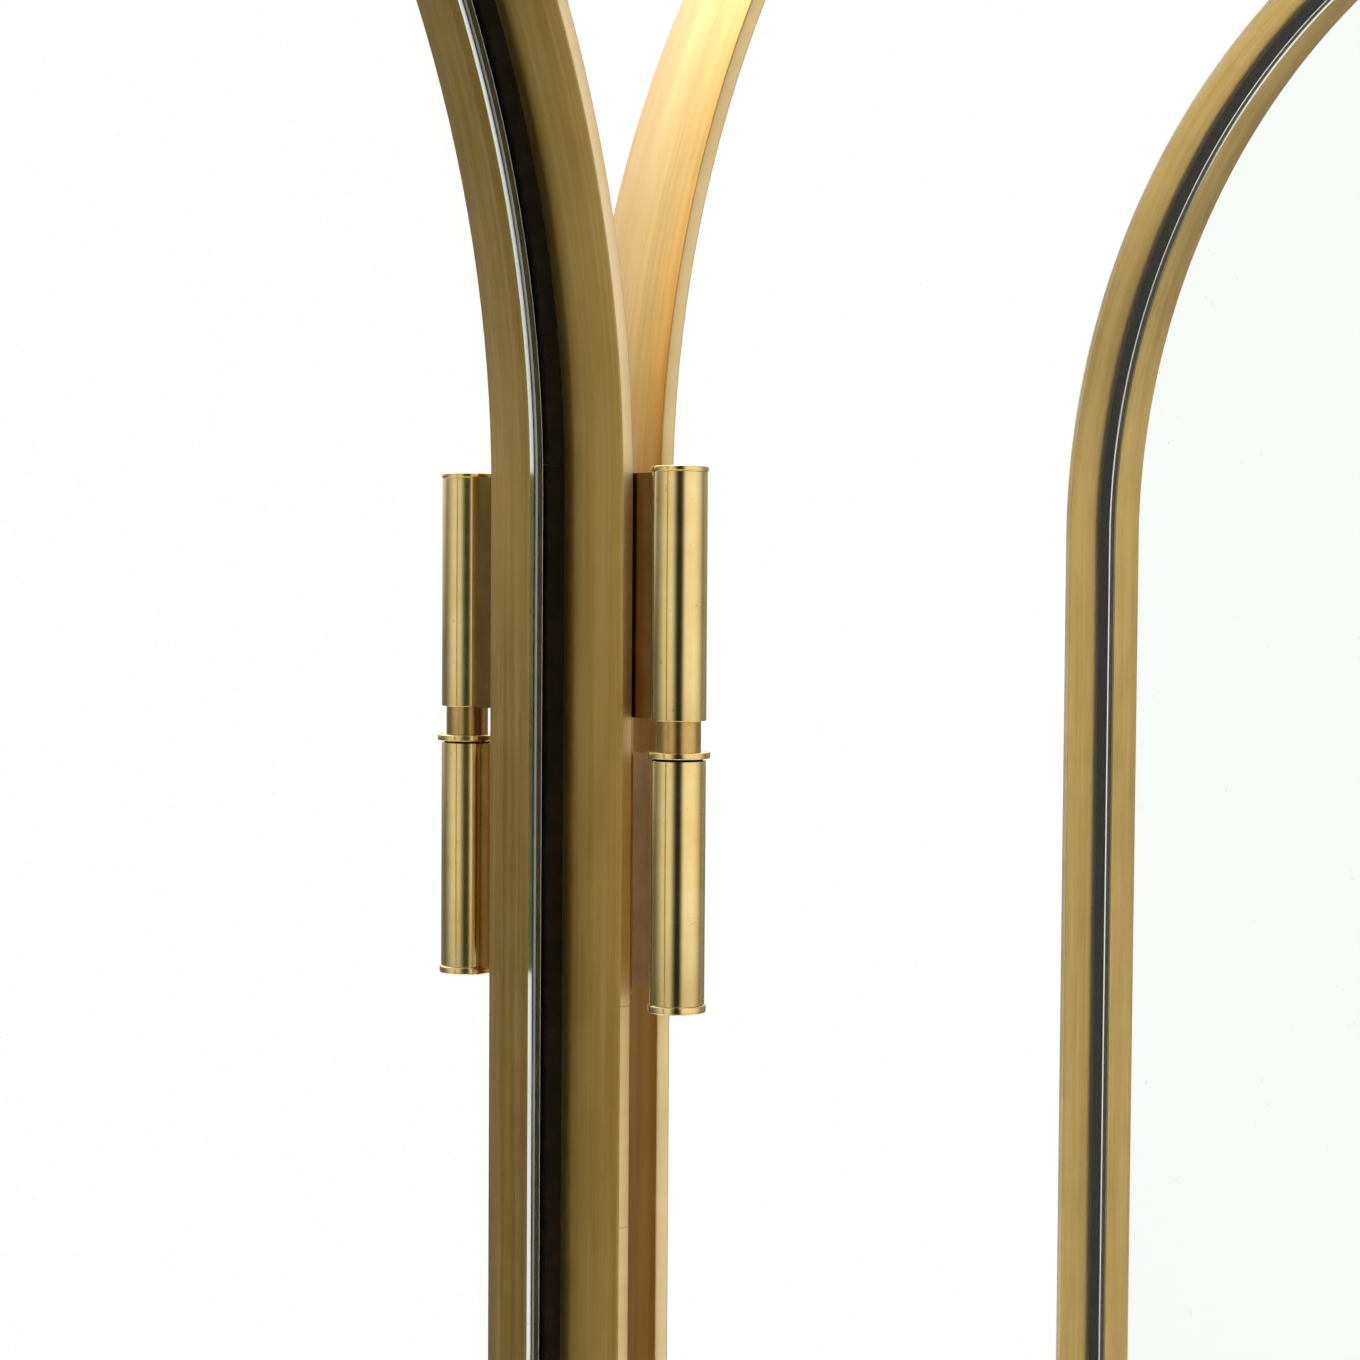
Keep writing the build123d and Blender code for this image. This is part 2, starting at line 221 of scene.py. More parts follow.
def satin_brass(name, place, tones, rough_low, rough_high):
    """Satin brass bar: drawn flat bar, brushed along its length and lacquered. The brushing gives
    long fine streaks in gloss and tone, handling gives soft stains, with a few nicks."""
    material, tree, output = new_material(name)
    along, across, side = band_coordinates(tree, place)

    def stretched(along_scale, across_scale, side_scale):
        return put(tree, "ShaderNodeCombineXYZ", links={
            "X": maths(tree, "MULTIPLY", along, along_scale),
            "Y": maths(tree, "MULTIPLY", across, across_scale),
            "Z": maths(tree, "MULTIPLY", side, side_scale)}).outputs[0]

    streaks = noise(tree, stretched(11.0, 900.0, 7.0), 1.0, 9.0, 0.72)
    broad = noise(tree, stretched(6.0, 150.0, 3.0), 1.0, 4.0, 0.6)
    nicks = noise(tree, stretched(500.0, 900.0, 1.0), 1.0, 2.0, 0.5)
    stains = noise(tree, stretched(38.0, 90.0, 1.0), 1.0, 5.0, 0.65)
    tone = ramp(tree, streaks, [
        (stop, linear(colour)) for stop, colour in zip((0.30, 0.50, 0.72), tones)])
    layers = (
        (ramp(tree, broad, [(0.30, linear("#E2D8BC")), (0.65, grey(1.0))]), 0.8),
        (ramp(tree, stains, [(0.34, linear("#E4DEC2")), (0.58, grey(1.0))]), 0.5),
        (ramp(tree, nicks, [(0.22, grey(0.45)), (0.27, grey(1.0))]), 0.6),
    )
    for layer, amount in layers:
        tone = multiplied(tree, tone, layer, amount)
    rough = spread(tree, streaks, 0.3, 0.7, rough_low, rough_high)
    rougher = maths(tree, "ADD", rough, maths(tree, "MULTIPLY", stains, 0.08))
    bump = put(tree, "ShaderNodeBump", links={"Height": streaks},
               Strength=0.22, Distance=0.00003)
    shader = put(tree, "ShaderNodeBsdfPrincipled", links={
        "Base Color": tone, "Roughness": rougher, "Normal": bump.outputs[0]}, Metallic=1.0)
    tree.links.new(shader.outputs[0], output.inputs[0])
    return material


def turned_brass(name, dark, middle, light, roughness, pit_depth):
    """Polished brass: turned and buffed bar. Fine rings from the lathe, small pits and hairline
    scratches break up sharp reflections."""
    material, tree, output = new_material(name)
    where = put(tree, "ShaderNodeTexCoord").outputs["Object"]
    rings_map = put(tree, "ShaderNodeMapping", links={"Vector": where})
    rings_map.inputs["Scale"].default_value = (60.0, 60.0, 2600.0)
    rings = noise(tree, rings_map.outputs[0], 1.0, 4.0, 0.6)
    pits = noise(tree, where, 900.0, 2.0, 0.6)
    clouds = noise(tree, where, 130.0, 4.0, 0.6)
    tone = ramp(tree, clouds, [
        (0.30, linear(dark)), (0.50, linear(middle)), (0.70, linear(light))])
    pitted = ramp(tree, pits, [(0.24, grey(0.5)), (0.30, grey(1.0))])
    colour = multiplied(tree, tone, pitted, 0.75)
    gloss = maths(tree, "ADD", maths(tree, "MULTIPLY", clouds, 0.12), roughness - 0.06)
    lathe = put(tree, "ShaderNodeBump", links={"Height": rings},
                Strength=0.12, Distance=0.00002)
    bump = put(tree, "ShaderNodeBump", links={"Height": pitted, "Normal": lathe.outputs[0]},
               Strength=pit_depth, Distance=0.00004)
    shader = put(tree, "ShaderNodeBsdfPrincipled", links={
        "Base Color": colour, "Roughness": gloss, "Normal": bump.outputs[0]},
        Metallic=1.0)
    tree.links.new(shader.outputs[0], output.inputs[0])
    return material


GLASS_IOR = 1.52
GLASS_SHEEN = 0.35             # strength of what its face reflects
GLASS_DENSITY = 14.0           # how fast the green deepens with the length of the glass


def clear_glass(name, tint, dusty, smooth, smeared):
    """Float glass with ground arrises. Clear through its face and faintly green through its
    length, with a little dust, and wiped smears that soften its gloss."""
    material, tree, output = new_material(name)
    where = put(tree, "ShaderNodeTexCoord").outputs["Object"]
    smears = noise(tree, where, 16.0, 6.0, 0.65)
    dust = noise(tree, where, 1300.0, 1.0, 0.4)
    colour = ramp(tree, dust, [(0.20, linear(dusty)), (0.27, linear(tint))])
    rough = spread(tree, smears, 0.45, 0.8, smooth, smeared)
    shader = put(tree, "ShaderNodeBsdfPrincipled", links={
        "Base Color": colour, "Roughness": rough},
        IOR=GLASS_IOR, Transmission_Weight=1.0, Specular_Tint=grey(GLASS_SHEEN))
    depth = put(tree, "ShaderNodeVolumeAbsorption", Color=linear("#CDEFDB"),
                Density=GLASS_DENSITY)
    tree.links.new(shader.outputs[0], output.inputs["Surface"])
    tree.links.new(depth.outputs[0], output.inputs["Volume"])
    return material


def matt_compound(name, colour, roughness):
    """Rubber and other matt finishes, also the painted shade under the washers and the painted
    reflection on the pane's edge: matt, with a fine grain that breaks up the light and specks of
    brown dust."""
    material, tree, output = new_material(name)
    where = put(tree, "ShaderNodeTexCoord").outputs["Object"]
    grain = noise(tree, where, 1500.0, 3.0, 0.6)
    dust = noise(tree, where, 240.0, 5.0, 0.7)
    tone = ramp(tree, dust, [(0.45, linear(colour)), (0.80, linear("#261C12"))])
    rough = maths(tree, "ADD", maths(tree, "MULTIPLY", grain, 0.2), roughness)
    bump = put(tree, "ShaderNodeBump", links={"Height": grain},
               Strength=0.3, Distance=0.00005)
    shader = put(tree, "ShaderNodeBsdfPrincipled", links={
        "Base Color": tone, "Roughness": rough, "Normal": bump.outputs[0]},
        Specular_IOR_Level=0.25)
    tree.links.new(shader.outputs[0], output.inputs[0])
    return material


SATIN_TONES = ("#D6B062", "#E3BF71", "#F0D089")
LIT_EDGE_TONES = ("#F4DCAA", "#FAE5BA", "#FFEFCC")
BANDS = {panel: satin_brass("satin_brass_" + panel, place, SATIN_TONES, 0.27, 0.40)
         for panel, place in PLACES.items()}
# The narrow edges are linished after the bar is slit, so rougher than the faces; their paler tones
# are a painted highlight for the light that these eased edges catch.
EDGES = {panel: satin_brass("linished_edge_" + panel, place, LIT_EDGE_TONES, 0.42, 0.55)
         for panel, place in PLACES.items()}
# Sleeves, caps and washers are turned and buffed: bright, with sharp upright highlights.
POLISHED = turned_brass("polished_brass", "#E9CC84", "#EED490", "#F3DCA0", 0.12, 0.25)
# The link plates and far leaves: the same rolled brass, darkened as painted shade for the shadow
# they stand in, and smoother.
SHADED_ROLLED_BRASS = turned_brass("bright_rolled_brass", "#93703A", "#9C7840", "#A6824A", 0.22, 0.2)
# The near leaves: the same rolled brass, paler as a painted highlight for the light they stand in,
# and rougher, with a broad soft sheen.
LIT_ROLLED_BRASS = turned_brass("rolled_plate_brass", "#CDA870", "#DAB77E", "#E6C690", 0.42, 0.2)
# The pins are turned but not buffed, so the necks look a little duller than the sleeves.
PIN_BRASS = turned_brass("pin_brass", "#C09A5C", "#CDA96A", "#DABB80", 0.24, 0.2)
# The screws are turned from a redder bar, and their heads are lightly pitted.
SCREW_BRASS = turned_brass("screw_brass", "#C79A50", "#D9B064", "#E6C27A", 0.24, 0.3)
# Float glass, polished on both faces: clear, with the room faint in it.
GLASS = clear_glass("float_glass", "#FFFFFF", "#E6ECE4", 0.0, 0.03)
# The edge of the pane is ground, so light that leaves through it is soft and greener.
GROUND_EDGE = clear_glass("ground_glass_edge", "#DCEBDD", "#C4D2C6", 0.18, 0.34)
# Extruded strip round the pane: near black with a trace of brown.
RUBBER = matt_compound("gasket_rubber", "#0A0502", 0.5)
# Moulded pads under the feet: neutral black, and duller than the strip.
PAD_RUBBER = matt_compound("pad_rubber", "#100F0E", 0.6)
# Painted shade under the washers' rims: dark brown on the relief below each rim, where the shadow
# falls, with a little more gloss.
RIM_SHADE = matt_compound("hinge_grease", "#140C04", 0.35)
# A painted reflection: an olive brown strip on the pane's edge that stands for the brass band
# reflected in it, seen through the glass.
EDGE_REFLECTION = matt_compound("edge_sealant", "#5A470C", 0.5)


# ---- meshes ----------------------------------------------------------------------------------
def finish_mesh(name, mesh, material, body, replaced, smooth_angle=35.0):
    """Turn a bmesh into a piece that rides on a body and stands for CAD nodes."""
    bmesh.ops.recalc_face_normals(mesh, faces=mesh.faces)
    for face in mesh.faces:
        face.smooth = True
    for edge in mesh.edges:
        if edge.is_manifold and edge.calc_face_angle() > math.radians(smooth_angle):
            edge.smooth = False
    data = bpy.data.meshes.new(name)
    mesh.to_mesh(data)
    mesh.free()
    piece = add_object(name, data)
    data.materials.append(material)
    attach(piece, body)
    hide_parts(*replaced)
    return piece


def arched_path(radius, bottom, steps):
    """Points and outward directions up one side, over the arch and down the other side."""
    points = [((-radius, bottom), (-1.0, 0.0))]
    for index in range(steps + 1):
        angle = math.pi * (1 - index / steps)
        out = (math.cos(angle), math.sin(angle))
        points.append(((radius * out[0], SPRING + radius * out[1]), out))
    points.append(((radius, bottom), (1.0, 0.0)))
    return points


def sweep(mesh, path, section, place, second=()):
    """Sweep a closed section of (outward, depth) points along an open path, with flat ends. The
    sides listed in second take the piece's second material."""
    rings = []
    for (x, z), (out_x, out_z) in path:
        ring = [mesh.verts.new(place @ Vector((x + o * out_x, d, z + o * out_z)))
                for o, d in section]
        rings.append(ring)
    count = len(section)
    for ring, following in zip(rings, rings[1:]):
        for i in range(count):
            j = (i + 1) % count
            side = mesh.faces.new((ring[i], ring[j], following[j], following[i]))
            side.material_index = 1 if i in second else 0
    mesh.faces.new(rings[0])
    mesh.faces.new(reversed(rings[-1]))


def bevelled_section(low, high, half_depth, bevel, steps=3):
    """A rectangle from low to high outward and over the depth, with rounded corners."""
    corners = [(high - bevel, half_depth - bevel, 0), (low + bevel, half_depth - bevel, 1),
               (low + bevel, -half_depth + bevel, 2), (high - bevel, -half_depth + bevel, 3)]
    section = []
    for o, d, quarter in corners:
        for index in range(steps + 1):
            angle = math.pi / 2 * (quarter + index / steps)
            section.append((o + bevel * math.cos(angle), d + bevel * math.sin(angle)))
    return section


CUT_EDGES = (2, 3, 4, 10, 11, 12)      # sides of the band's section along its two narrow edges


def make_band(panel):
    """The flat bar bent over the arch and down both sides."""
    mesh = bmesh.new()
    section = bevelled_section(-BAND_THICKNESS, 0.0, BAND_DEPTH / 2, BAND_BEVEL)
    path = arched_path(ARCH_RADIUS, FRAME_BOTTOM, ARC_STEPS)
    sweep(mesh, path, section, PLACES[panel], CUT_EDGES)
    replaced = [f"{panel}_arch", f"{panel}_left_stile", f"{panel}_right_stile"]
    band = finish_mesh(panel + "_band", mesh, BANDS[panel], "panel_" + panel,
                       replaced)
    # The narrow edges take the paler tones, painted as highlight.
    band.data.materials.append(EDGES[panel])


def make_gasket(panel):
    """Two strips of rubber round the pane, with a small gap where they meet."""
    inside = ARCH_RADIUS - BAND_THICKNESS
    tall = GASKET_HEIGHT - GASKET_CLEAR
    half = GASKET_WIDTH / 2
    section = [(0, half), (-tall, half), (-tall, -half), (0, -half)]
    mesh = bmesh.new()
    meet = math.asin(JOINT_RISE / inside)
    slack = GASKET_GAP / 2 / inside

    def round_arch(first, last, steps):
        angles = [first + (last - first) * i / steps for i in range(steps + 1)]
        return [((inside * math.cos(a), SPRING + inside * math.sin(a)),
                 (math.cos(a), math.sin(a))) for a in angles]

    sweep(mesh, round_arch(math.pi - meet - slack, meet + slack, ARC_STEPS), section,
          PLACES[panel])
    floor = FRAME_BOTTOM + BAND_THICKNESS
    lower = (round_arch(math.pi - meet + slack, math.pi, 4)
             + [((-inside, floor), (-1.0, -1.0)), ((inside, floor), (1.0, -1.0))]
             + round_arch(0.0, meet - slack, 4))
    sweep(mesh, lower, section, PLACES[panel])
    finish_mesh(panel + "_gasket_strips", mesh, RUBBER, "panel_" + panel,
                [f"{panel}_gasket"], 30.0)


def make_pane(panel):
    """The glass: an arched slab with a ground bevel round both faces."""
    radius = ARCH_RADIUS - BAND_THICKNESS - GASKET_HEIGHT
    bottom = FRAME_BOTTOM + BAND_THICKNESS + GASKET_HEIGHT
    half = GLASS_THICKNESS / 2
    mesh = bmesh.new()
    loops = []
    for inset, depth in ((GLASS_ARRIS, -half), (0.0, GLASS_ARRIS - half), (0.0, REFLECTION_TO),
                         (0.0, half - GLASS_ARRIS), (GLASS_ARRIS, half)):
        outline = arched_path(radius - inset, bottom + inset, ARC_STEPS)
        loops.append([mesh.verts.new(PLACES[panel] @ Vector((x, depth, z)))
                      for (x, z), _ in outline])
    count = len(loops[0])
    for strip, (loop, following) in enumerate(zip(loops, loops[1:])):
        for i in range(count):
            j = (i + 1) % count
            face = mesh.faces.new((loop[i], loop[j], following[j], following[i]))
            # One strip of the edge takes the painted reflection of the brass, the rest the ground
            # glass.
            face.material_index = 1 if strip == REFLECTION_STRIP else 2
    mesh.faces.new(loops[0])
    mesh.faces.new(reversed(loops[-1]))
    pane = finish_mesh(panel + "_pane", mesh, GLASS, "panel_" + panel,
                       [f"{panel}_glass"], 20.0)
    pane.data.materials.append(EDGE_REFLECTION)
    pane.data.materials.append(GROUND_EDGE)


FLAT_WITHIN = math.radians(0.6)        # faces of a CAD mesh that meet flatter than this are one
EASED_OVER = math.radians(40)          # edges that turn by more than this are eased


def eased_copy(node, material):
    """A merged copy of a CAD node with small eased edges, in place of the node."""
    source = nodes[node]
    body = source["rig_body"]
    mesh = bmesh.new()
    mesh.from_mesh(source.data)
    bmesh.ops.remove_doubles(mesh, verts=mesh.verts, dist=SAME_POINT)
    bmesh.ops.dissolve_limit(mesh, angle_limit=FLAT_WITHIN, verts=mesh.verts,
                             edges=mesh.edges)
    name = node + "_eased"
    data = bpy.data.meshes.new(name)
    mesh.to_mesh(data)
    mesh.free()
    piece = add_object(name, data)
    bevel = piece.modifiers.new("ease", "BEVEL")
    bevel.width = EASED_EDGE
    bevel.segments = 2
    bevel.limit_method = "ANGLE"
    bevel.angle_limit = EASED_OVER
    bevel.use_clamp_overlap = True
    graph = bpy.context.evaluated_depsgraph_get()
    done = bpy.data.meshes.new_from_object(piece.evaluated_get(graph))
    bpy.data.objects.remove(piece)
    mesh = bmesh.new()
    mesh.from_mesh(done)
    bpy.data.meshes.remove(done)
    finish_mesh(name, mesh, material, body, [node], 30.0)


# ---- hinges: turned barrels, rolled plates --------------------------------------------------
LATHE_STEPS = 96
ROUNDED = 0.15 * MM
SLEEVE_RADIUS = LEFT_AXIS.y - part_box("left_hinge_upper_near_leaf")[0].y
BORE_RADIUS = 3.0 * MM
RUNNING_CLEARANCE = 0.05 * MM
NECK_RADIUS = 3.75 * MM
WASHER_RADIUS = 5.3 * MM
WASHER_BORE = NECK_RADIUS + 0.05 * MM
WASHER_RELIEF = 0.35 * MM      # a relief below the rim, which shows as a dark line
RELIEF_DEPTH = 1.2 * MM
SHADED_SIDES = 3                     # sides of the washer's profile that lie under its rim, painted dark as shade
TOP_CAP_RADIUS = 4.75 * MM
BOTTOM_CAP_RADIUS = 4.85 * MM
CAP_ROUNDED = 0.25 * MM
LINK_THICKNESS = 1.0 * MM
LEAF_THICKNESS = 1.4 * MM
LEAF_FACE = 0.7 * MM            # from the barrel's axis, sideways, to the nearer face of a leaf
LEAF_DEPTH = 22.0 * MM
LINK_SETBACK = 1.1 * MM
AXIS_OFFSET = MIDDLE.y - LEFT_AXIS.y
STAND_OFF = AXIS_OFFSET - BAND_DEPTH / 2
FAR = 2 * AXIS_OFFSET
LEFT_STRAIGHT = Matrix.Translation((LEFT_AXIS.x, MIDDLE.y - AXIS_OFFSET, 0))
LEFT_SWUNG = turned_about(LEFT_AXIS, LEFT_FOLD) @ LEFT_STRAIGHT
RIGHT_STRAIGHT = Matrix.Translation((RIGHT_AXIS.x, MIDDLE.y - AXIS_OFFSET, 0))
RIGHT_SWUNG = turned_about(RIGHT_AXIS, RIGHT_FOLD) @ RIGHT_STRAIGHT


def turn_on_lathe(mesh, profile, place, y=0.0):
    """Revolve a closed outline of (radius, height) points round an upright axis."""
    rings = []
    for radius, z in profile:
        if radius == 0:
            rings.append([mesh.verts.new(place @ Vector((0, y, z)))])
            continue
        ring = []
        for index in range(LATHE_STEPS):
            angle = 2 * math.pi * index / LATHE_STEPS
            ring.append(mesh.verts.new(
                place @ Vector((radius * math.cos(angle), y + radius * math.sin(angle), z))))
        rings.append(ring)
    pairs = list(zip(rings, rings[1:]))
    if len(rings[0]) > 1:
        pairs.append((rings[-1], rings[0]))
    for ring, following in pairs:
        for i in range(LATHE_STEPS):
            j = (i + 1) % LATHE_STEPS
            corner = [ring[i % len(ring)], ring[j % len(ring)],
                      following[j % len(following)], following[i % len(following)]]
            unique = list(dict.fromkeys(corner))
            if len(unique) > 2:
                mesh.faces.new(unique)


def tube_profile(inner, outer, low, high, rounded=ROUNDED, steps=3):
    """A sleeve or ring with rounded outer edges."""
    profile = [(inner, low)]
    for index in range(steps + 1):
        angle = math.pi / 2 * index / steps
        profile.append((outer - rounded + rounded * math.sin(angle),
                        low + rounded - rounded * math.cos(angle)))
    for index in range(steps + 1):
        angle = math.pi / 2 * index / steps
        profile.append((outer - rounded + rounded * math.cos(angle),
                        high - rounded + rounded * math.sin(angle)))
    profile.append((inner, high))
    return profile


def add_plate(mesh, low, high, place):
    """A flat plate with eased edges."""
    made = bmesh.ops.create_cube(mesh, size=1.0)["verts"]
    size = Vector(high) - Vector(low)
    middle = (Vector(high) + Vector(low)) / 2
    for vert in made:
        vert.co = Vector([c * s + m for c, s, m in zip(vert.co, size, middle)])
    edges = list({edge for vert in made for edge in vert.link_edges})
    done = bmesh.ops.bevel(mesh, geom=edges, offset=EASED_EDGE, segments=2, affect="EDGES")
    for vert in {vert for face in done["faces"] for vert in face.verts} | {
            vert for vert in made if vert.is_valid}:
        vert.co = place @ vert.co


def finish_plates(piece, first, material):
    """Give the plates, which come after the barrels in the mesh, a finish of their own."""
    piece.data.materials.append(material)
    for index in range(first, len(piece.data.polygons)):
        piece.data.polygons[index].material_index = 1


def leaf(node, side, place, near):
    """A sleeve and the plate that is let into the band."""
    low, high = (corner.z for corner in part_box(node))
    y = 0.0 if near else FAR
    mesh = bmesh.new()
    turn_on_lathe(mesh, tube_profile(BORE_RADIUS, SLEEVE_RADIUS, low, high), place, y)
    barrel_faces = len(mesh.faces)
    x_low, x_high = sorted((side * LEAF_FACE, side * (LEAF_FACE + LEAF_THICKNESS)))
    reach = STAND_OFF + LEAF_DEPTH
    y_low, y_high = (BORE_RADIUS, reach) if near else (FAR - reach, FAR - BORE_RADIUS)
    add_plate(mesh, (x_low, y_low, low), (x_high, y_high, high), place)
    piece = finish_mesh(node + "_turned", mesh, POLISHED, nodes[node]["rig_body"],
                        [node])
    # Near leaves take the painted-highlight copy of the rolled brass, far leaves the painted-shade
    # copy.
    finish_plates(piece, barrel_faces, LIT_ROLLED_BRASS if near else SHADED_ROLLED_BRASS)


def link_plate(node, place, upper, lower):
    """The plate between the panels, with its two sleeves."""
    half = LINK_THICKNESS / 2
    edge = STAND_OFF + LINK_SETBACK
    mesh = bmesh.new()
    turn_on_lathe(mesh, tube_profile(BORE_RADIUS, SLEEVE_RADIUS, *upper), place, 0.0)
    turn_on_lathe(mesh, tube_profile(BORE_RADIUS, SLEEVE_RADIUS, *lower), place, FAR)
    barrel_faces = len(mesh.faces)
    add_plate(mesh, (-half, edge, lower[0]), (half, FAR - edge, upper[1]), place)
    add_plate(mesh, (-half, BORE_RADIUS, upper[0]), (half, edge + EASED_EDGE, upper[1]), place)
    add_plate(mesh, (-half, FAR - edge - EASED_EDGE, lower[0]),
              (half, FAR - BORE_RADIUS, lower[1]), place)
    piece = finish_mesh(node + "_turned", mesh, POLISHED, nodes[node]["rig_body"],
                        [node])
    # The link plate takes the painted-shade copy of the rolled brass.
    finish_plates(piece, barrel_faces, SHADED_ROLLED_BRASS)


def hinge_pin(node, place, y, lower, upper):
    """A pin with a shoulder between the two sleeves."""
    low, high = (corner.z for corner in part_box(node))
    running = BORE_RADIUS - RUNNING_CLEARANCE
    neck_high = upper[0] - RUNNING_CLEARANCE
    profile = [(0, low), (BORE_RADIUS, low), (BORE_RADIUS, lower[1]), (NECK_RADIUS, lower[1]),
               (NECK_RADIUS, neck_high), (running, neck_high), (running, high), (0, high)]
    mesh = bmesh.new()
    turn_on_lathe(mesh, profile, place, y)
    finish_mesh(node + "_turned", mesh, PIN_BRASS, nodes[node]["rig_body"],
                [node])


def turned_rings(node, *groups, shaded_sides=0):
    """The caps or washers of one body, each group with its own place, list and profile. The
    first bands of a profile can be painted dark as shade."""
    mesh = bmesh.new()
    for place, levels, profile in groups:
        for y, low, high in levels:
            first = len(mesh.faces)
            turn_on_lathe(mesh, profile(low, high), place, y)
            mesh.faces.ensure_lookup_table()
            # These bands under the rim are painted dark as shade.
            for index in range(first, first + shaded_sides * LATHE_STEPS):
                mesh.faces[index].material_index = 1
    piece = finish_mesh(node + "_turned", mesh, POLISHED, nodes[node]["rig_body"],
                        [node])
    if shaded_sides:
        piece.data.materials.append(RIM_SHADE)


def cap_profile(radius):
    return lambda low, high: tube_profile(0, radius, low, high, CAP_ROUNDED)


def washer_profile(low, high):
    """A flat washer with a relief turned under its rim."""
    rim = tube_profile(WASHER_BORE, WASHER_RADIUS, low + WASHER_RELIEF, high)
    step = WASHER_RADIUS - RELIEF_DEPTH
    return [(WASHER_BORE, low), (step, low), (step, low + WASHER_RELIEF)] + rim[1:]


def heights(node):
    low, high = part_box(node)
    return low.z, high.z


LOWER = {level: heights(f"left_hinge_{level}_near_leaf") for level in ("lower", "upper")}
UPPER = {level: heights(f"left_hinge_{level}_far_leaf") for level in ("lower", "upper")}
CAP_BOTTOM, CAP_TOP = heights("middle_panel_hinge_caps")
BOTTOM_CAP_HEIGHT = LOWER["lower"][0] - CAP_BOTTOM
TOP_CAP_HEIGHT = CAP_TOP - UPPER["upper"][1]
WASHER_HEIGHT = heights("left_link_washers")[1] - LOWER["upper"][1]


def top_caps(y):
    return [(y, UPPER[level][1], UPPER[level][1] + TOP_CAP_HEIGHT) for level in UPPER]


def bottom_caps(y):
    return [(y, LOWER[level][0] - BOTTOM_CAP_HEIGHT, LOWER[level][0]) for level in LOWER]


def washers(y):
    return [(y, LOWER[level][1], LOWER[level][1] + WASHER_HEIGHT) for level in LOWER]


for level in LOWER:
    for joint, near_place, link_place, far_place in (
            ("left", LEFT_STRAIGHT, LEFT_SWUNG, LEFT_SWUNG),
            ("right", RIGHT_SWUNG, RIGHT_SWUNG, RIGHT_STRAIGHT)):
        prefix = f"{joint}_hinge_{level}_"
        leaf(prefix + "near_leaf", 1, near_place, True)
        leaf(prefix + "far_leaf", -1, far_place, False)
        link_plate(prefix + "link_plate", link_place, UPPER[level], LOWER[level])
        hinge_pin(prefix + "near_pin", near_place, 0.0, LOWER[level], UPPER[level])
        hinge_pin(prefix + "far_pin", link_place, FAR, LOWER[level], UPPER[level])

TOP_CAP = cap_profile(TOP_CAP_RADIUS)
BOTTOM_CAP = cap_profile(BOTTOM_CAP_RADIUS)
turned_rings("left_panel_hinge_caps", (LEFT_SWUNG, top_caps(FAR), TOP_CAP))
turned_rings("left_link_hinge_caps", (LEFT_SWUNG, top_caps(0), TOP_CAP),
             (LEFT_SWUNG, bottom_caps(FAR), BOTTOM_CAP))
turned_rings("middle_panel_hinge_caps", (LEFT_STRAIGHT, bottom_caps(0), BOTTOM_CAP),
             (RIGHT_STRAIGHT, top_caps(FAR), TOP_CAP))
turned_rings("right_link_hinge_caps", (RIGHT_SWUNG, top_caps(0), TOP_CAP),
             (RIGHT_SWUNG, bottom_caps(FAR), BOTTOM_CAP))
turned_rings("right_panel_hinge_caps", (RIGHT_SWUNG, bottom_caps(0), BOTTOM_CAP))
turned_rings("left_link_washers", (LEFT_SWUNG, washers(FAR), washer_profile), shaded_sides=SHADED_SIDES)
turned_rings("middle_panel_washers", (LEFT_STRAIGHT, washers(0), washer_profile), shaded_sides=SHADED_SIDES)
turned_rings("right_link_washers", (RIGHT_SWUNG, washers(FAR), washer_profile), shaded_sides=SHADED_SIDES)
turned_rings("right_panel_washers", (RIGHT_SWUNG, washers(0), washer_profile), shaded_sides=SHADED_SIDES)


# ---- leaf screws, set out by Geometry Nodes ---------------------------------------------------
SCREW_INSET = 15.5 * MM
SCREW_MARGIN = 6.0 * MM
SCREWS_PER_LEAF = 3
LEAF_PROUD = 0.1 * MM
HEAD_PROUD = 0.06 * MM
HEAD_SIDES = 40
SCREW_SIZES = (("Head Radius", 2.6 * MM), ("Shank Radius", 1.4 * MM), ("Length", 2.2 * MM),
               ("Slot Width", 0.6 * MM), ("Slot Depth", 0.5 * MM))
SCREW_SEED = 7


